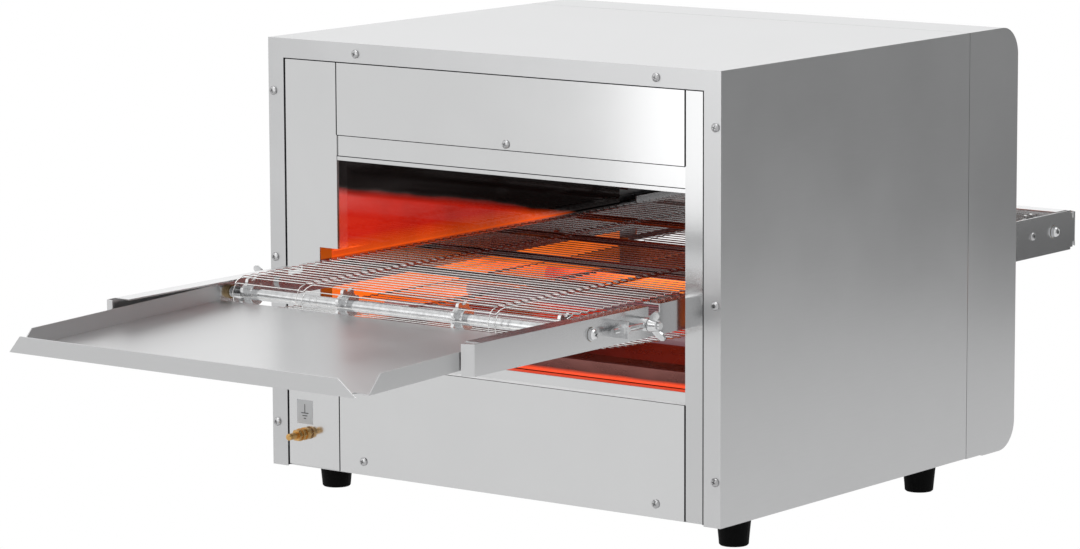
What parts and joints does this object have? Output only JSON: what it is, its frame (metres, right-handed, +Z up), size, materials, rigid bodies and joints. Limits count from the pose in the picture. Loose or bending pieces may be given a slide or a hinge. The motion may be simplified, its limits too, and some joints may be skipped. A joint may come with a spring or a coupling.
{
  "type": "conveyor pizza oven",
  "caption": "Countertop conveyor pizza oven: a steel casing with a wire belt through a radiant chamber, side rails with clamp nuts, a catch tray and rubber feet.",
  "frame": {"origin": "middle of the overall length and width, on the plane the feet stand on", "axes": "+X across the oven to the right seen from the exit end, +Y from the exit end to the entry end, +Z up"},
  "size_m": [0.49, 1.0594, 0.4105],
  "materials": {
    "cover_steel": "fine brushed stainless sheet",
    "bright_steel": "bright mirror-like stainless sheet",
    "belt_wire": "bright drawn stainless wire",
    "zinc": "zinc plated steel",
    "chain_steel": "oiled dark steel",
    "bush_bronze": "sintered bronze",
    "terminal_brass": "plain brass with a dull nickel tint",
    "foot_rubber": "matt black rubber",
    "black_plastic": "matt black moulding",
    "red_plastic": "translucent red moulding",
    "amber_lens": "clear amber lens",
    "fascia_black": "satin black enamel",
    "motor_paint": "grey enamel",
    "quartz_hot": "glowing quartz tube",
    "ceramic": "unglazed white ceramic",
    "insulation": "fibre blanket",
    "pale_plastic": "natural moulding"
  },
  "bodies": {
    "oven": {"outer_cover": "cover_steel", "base_pan": "cover_steel", "feet": "foot_rubber", "left_end_post": "bright_steel", "right_end_post": "bright_steel", "upper_end_panel": "bright_steel", "lower_end_panel": "bright_steel", "casing_screws": "zinc", "earth_terminal": "terminal_brass", "chamber_liner": "bright_steel", "liner_insulation": "insulation", "upper_heaters": "quartz_hot", "lower_heaters": "quartz_hot", "heater_end_caps": "ceramic", "upper_reflector": "bright_steel", "lower_reflector": "bright_steel", "conveyor_rail_left": "bright_steel", "conveyor_rail_right": "bright_steel", "rail_spacers": "zinc", "frame_screws": "zinc", "rail_ties": "zinc", "belt_top_run": "belt_wire", "belt_bottom_run": "belt_wire", "belt_turns": "belt_wire", "extension_rail_left": "bright_steel", "extension_rail_right": "bright_steel", "tray_rest_rods": "zinc", "entry_end_frame": "bright_steel", "shaft_bushes": "bush_bronze", "belt_tensioners": "zinc", "clamp_studs": "zinc", "drive_chain": "chain_steel", "gear_motor": "motor_paint", "motor_bracket": "cover_steel", "chain_guard": "cover_steel", "control_housing": "cover_steel", "control_fascia": "fascia_black", "entry_screws": "zinc", "switch_frame": "black_plastic", "pilot_lights": "amber_lens", "heat_regulators": "motor_paint", "terminal_block": "pale_plastic", "cable_gland": "black_plastic"},
    "drive_train": {"drive_shaft": "zinc", "drive_sprockets": "zinc", "driven_sprocket": "zinc"},
    "idler": {"idler_shaft": "zinc", "idler_sprockets": "zinc"},
    "motor_output": {"motor_shaft": "zinc", "motor_sprocket": "zinc"},
    "clamp_nut_left": {"wing_nut_left": "zinc"},
    "clamp_nut_right": {"wing_nut_right": "zinc"},
    "exit_gate": {"exit_baffle": "bright_steel"},
    "entry_gate": {"entry_baffle": "bright_steel"},
    "tray": {"catch_tray": "bright_steel"},
    "upper_heat_knob": {"knob_upper_heat": "black_plastic"},
    "lower_heat_knob": {"knob_lower_heat": "black_plastic"},
    "belt_speed_knob": {"knob_belt_speed": "black_plastic"},
    "power_switch": {"power_rocker": "red_plastic"}
  },
  "joints": [
    {"name": "drive_spin", "type": "hinge", "parent": "oven", "child": "drive_train", "pos_m": [0.0095, 0.48391, 0.204], "axis": [1, 0, 0], "continuous": true, "deforming": ["belt_turns", "drive_chain"]},
    {"name": "idler_spin", "type": "hinge", "parent": "oven", "child": "idler", "pos_m": [0.0095, -0.24029, 0.204], "axis": [1, 0, 0], "continuous": true},
    {"name": "motor_spin", "type": "hinge", "parent": "oven", "child": "motor_output", "pos_m": [-0.205, 0.30971, 0.204], "axis": [1, 0, 0], "continuous": true},
    {"name": "clamp_left_turn", "type": "hinge", "parent": "oven", "child": "clamp_nut_left", "pos_m": [-0.1973, -0.17429, 0.204], "axis": [-1, 0, 0], "continuous": true},
    {"name": "clamp_right_turn", "type": "hinge", "parent": "oven", "child": "clamp_nut_right", "pos_m": [0.2163, -0.17429, 0.204], "axis": [1, 0, 0], "continuous": true},
    {"name": "exit_gate_slide", "type": "slide", "parent": "oven", "child": "exit_gate", "axis": [0, 0, 1], "range_m": [-0.028, 0.002]},
    {"name": "entry_gate_slide", "type": "slide", "parent": "oven", "child": "entry_gate", "axis": [0, 0, 1], "range_m": [-0.007, 0.007]},
    {"name": "tray_slide", "type": "slide", "parent": "oven", "child": "tray", "axis": [0, -0.9995, -0.0314], "range_m": [0, 0.08]},
    {"name": "upper_heat_turn", "type": "hinge", "parent": "oven", "child": "upper_heat_knob", "pos_m": [-0.005, 0.35351, 0.33605], "axis": [0, 1, 0], "range_deg": [0, 270]},
    {"name": "lower_heat_turn", "type": "hinge", "parent": "oven", "child": "lower_heat_knob", "pos_m": [0.072, 0.35351, 0.33605], "axis": [0, 1, 0], "range_deg": [0, 270]},
    {"name": "belt_speed_turn", "type": "hinge", "parent": "oven", "child": "belt_speed_knob", "pos_m": [0.149, 0.35351, 0.33605], "axis": [0, 1, 0], "range_deg": [0, 270]},
    {"name": "power_rock", "type": "hinge", "parent": "oven", "child": "power_switch", "pos_m": [-0.071, 0.34871, 0.33605], "axis": [1, 0, 0], "range_deg": [-10, 10]}
  ],
  "couplings": [
    {"joint": "idler_spin", "follows": "drive_spin", "ratio": 1},
    {"joint": "motor_spin", "follows": "drive_spin", "ratio": 1.5}
  ]
}
